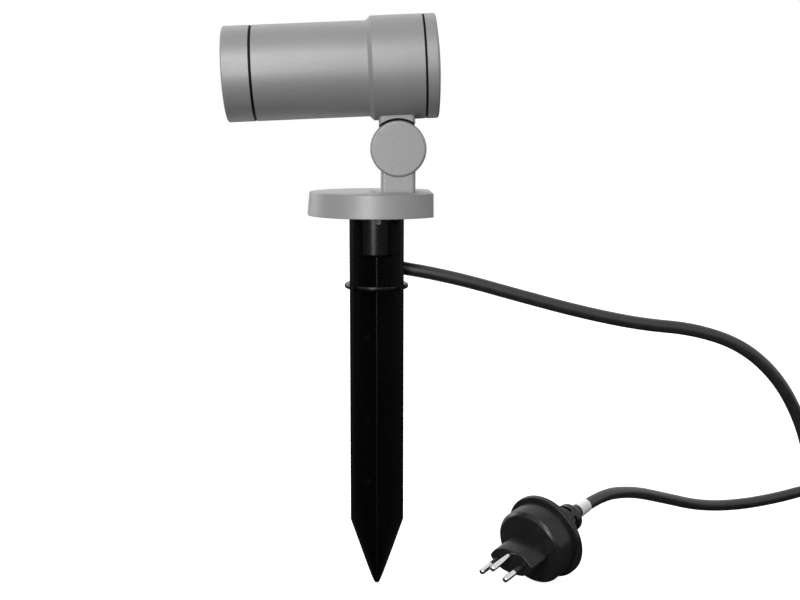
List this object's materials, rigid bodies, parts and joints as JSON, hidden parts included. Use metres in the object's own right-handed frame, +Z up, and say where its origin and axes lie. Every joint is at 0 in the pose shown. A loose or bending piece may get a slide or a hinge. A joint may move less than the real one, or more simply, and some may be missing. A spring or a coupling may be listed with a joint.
{
  "type": "landscape spotlight",
  "caption": "Garden spotlight: a round tilting lamp head on a lapped knuckle, a round base with a flat side, a finned ground spike, and a rubber cord with a splash-proof plug.",
  "frame": {"origin": "the point of the ground spike", "axes": "+Z up along the spike, the beam leaves towards -X, the knuckle's pivot runs along Y"},
  "size_m": [0.5378, 0.1921, 0.3687],
  "materials": {
    "grey_casting": "satin grey powder coat on cast aluminium",
    "spike_plastic": "satin black moulded plastic",
    "plug_plastic": "semi-gloss black moulded plastic",
    "cord_rubber": "matte black rubber sheath",
    "rubber": "black rubber seal",
    "band_white": "white marking band",
    "steel": "zinc-plated steel",
    "dark_steel": "blackened steel",
    "pin_metal": "nickel-plated brass",
    "brass": "plain brass",
    "lamp_white": "white moulding",
    "glass": "clear toughened glass"
  },
  "bodies": {
    "stand": {"ground_spike": "spike_plastic", "spike_adapter": "spike_plastic", "spike_lock_screw": "steel", "cord_gland": "rubber", "base_plate": "grey_casting", "base_cover": "spike_plastic", "base_screws": "dark_steel", "base_arm": "grey_casting", "arm_screws": "steel", "hinge_bolt": "steel", "hinge_washer": "steel", "hinge_seal": "rubber", "supply_cord": "cord_rubber", "cord_coil": "cord_rubber", "plug_lead": "cord_rubber", "coil_tie": "spike_plastic", "cord_band": "band_white", "plug_body": "plug_plastic", "plug_flange": "plug_plastic", "plug_boot": "plug_plastic", "plug_pins": "pin_metal", "pin_sleeves": "plug_plastic"},
    "head": {"head_arm": "grey_casting", "head_arm_screws": "steel", "head_casing": "grey_casting", "front_seal": "rubber", "rear_cover": "grey_casting", "rear_seal": "rubber", "lamp_body": "lamp_white", "lamp_lens": "glass", "lamp_pins": "steel", "lamp_holder": "lamp_white", "holder_bracket": "steel", "bracket_screws": "steel", "terminal_block": "lamp_white", "earth_screw": "brass"},
    "lens": {"front_glass": "glass", "glass_gasket": "rubber"},
    "ring": {"front_ring": "grey_casting"}
  },
  "joints": [
    {"name": "head_tilt", "type": "hinge", "parent": "stand", "child": "head", "pos_m": [0.01355, 0, 0.2857], "axis": [0, 1, 0], "range_deg": [-27, 90]},
    {"name": "ring_travel", "type": "slide", "parent": "head", "child": "lens", "axis": [-0.999, 0, -0.0447], "range_m": [0, 0.0105]},
    {"name": "ring_turn", "type": "hinge", "parent": "lens", "child": "ring", "pos_m": [0.01132, 0, 0.33565], "axis": [-0.999, 0, -0.0447], "range_deg": [0, 1260]}
  ],
  "couplings": [
    {"joint": "ring_travel", "follows": "ring_turn", "m_per_rad": 0.00047746}
  ]
}
